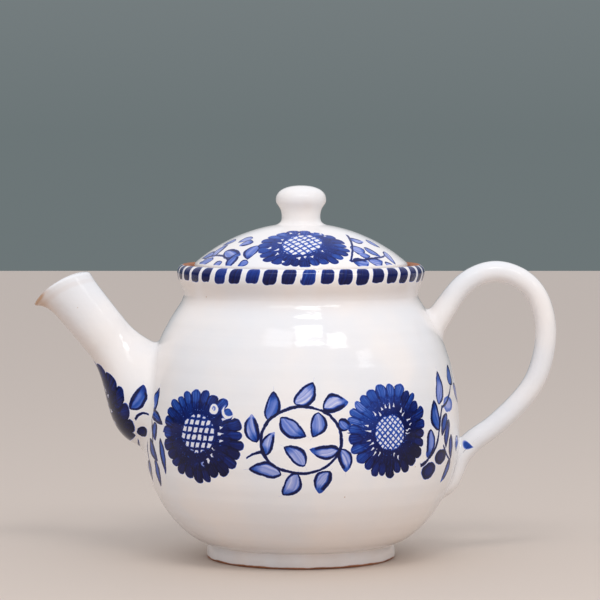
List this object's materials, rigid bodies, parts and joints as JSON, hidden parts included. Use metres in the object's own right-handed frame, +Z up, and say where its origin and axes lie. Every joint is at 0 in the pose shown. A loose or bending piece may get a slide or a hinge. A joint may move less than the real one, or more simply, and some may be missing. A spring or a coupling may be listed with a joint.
{
  "type": "teapot",
  "caption": "Round-bodied earthenware teapot with straight slanted spout, ear-shaped loop handle and knobbed domed lid, white glaze with hand-painted cobalt flowers.",
  "frame": {"origin": "on the table, under the middle of the whole pot from spout tip to handle", "axes": "+Z up, spout towards -X, handle towards +X, the pot's mirror plane is Y = 0"},
  "size_m": [0.2616, 0.1588, 0.1864],
  "materials": {
    "white_glaze": "glossy warm white tin glaze over red clay, with hand-painted cobalt flowers",
    "bare_clay": "unglazed red-brown fired earthenware, matte"
  },
  "bodies": {
    "pot": {"pot_body": "white_glaze", "foot_ring": "white_glaze", "spout": "white_glaze", "handle": "white_glaze"},
    "lid": {"lid_dome": "white_glaze", "lid_flange": "bare_clay", "lid_knob": "white_glaze"}
  },
  "joints": [
    {"name": "lid_lift", "type": "slide", "parent": "pot", "child": "lid", "axis": [0, 0, 1], "range_m": [0, 0.09]}
  ]
}
